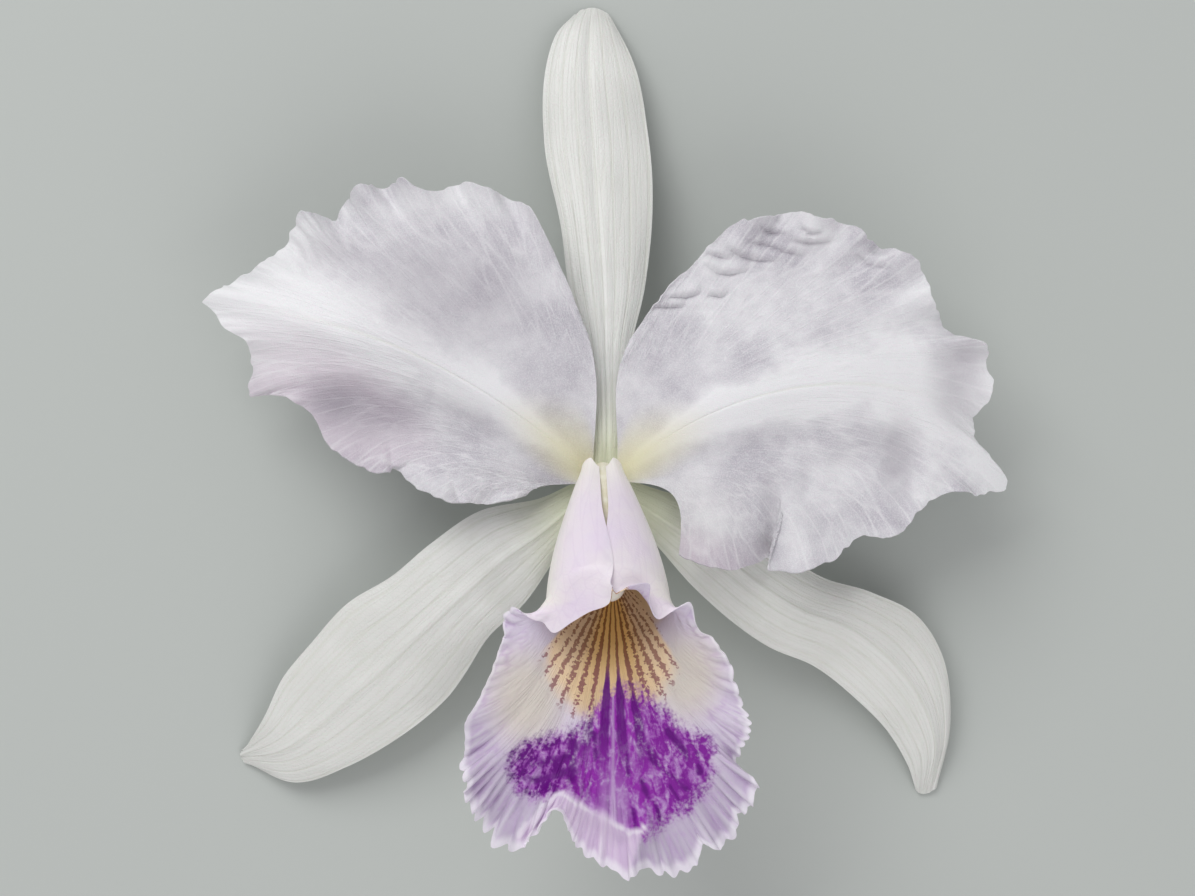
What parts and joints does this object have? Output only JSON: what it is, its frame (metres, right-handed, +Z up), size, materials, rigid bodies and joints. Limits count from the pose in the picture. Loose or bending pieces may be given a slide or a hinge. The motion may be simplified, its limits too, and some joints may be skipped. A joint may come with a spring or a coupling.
{
  "type": "cattleya labiata orchid bloom",
  "caption": "Orchid bloom as picked: narrow sepals behind broad waved petals, a rolled lip with a frilled skirt, and a cut stem.",
  "frame": {"origin": "middle of the bloom's outline, on the surface it lies on", "axes": "+Z up, the way the bloom faces; +Y from the lip to the tip of the upper sepal; +X to the right petal"},
  "size_m": [0.1519, 0.165, 0.0584],
  "materials": {
    "sepal": "creamy white leaf, fine lengthwise veins, soft sheen",
    "petal": "white leaf with a faint lilac tinge, fine branching veins, matt",
    "lip": "lilac white leaf with a violet blotch and a tan, brown-striped throat",
    "column": "waxy cream white",
    "anther_cap": "waxy white",
    "pollen": "waxy yellow",
    "green_stem": "pale green, low ribs, slightly waxy"
  },
  "bodies": {
    "root": {"dorsal_sepal": "sepal", "lateral_sepal_left": "sepal", "lateral_sepal_right": "sepal", "petal_left": "petal", "petal_right": "petal", "labellum": "lip", "column": "column", "anther_cap": "anther_cap", "pollinia": "pollen", "ovary_pedicel": "green_stem"}
  },
  "joints": []
}
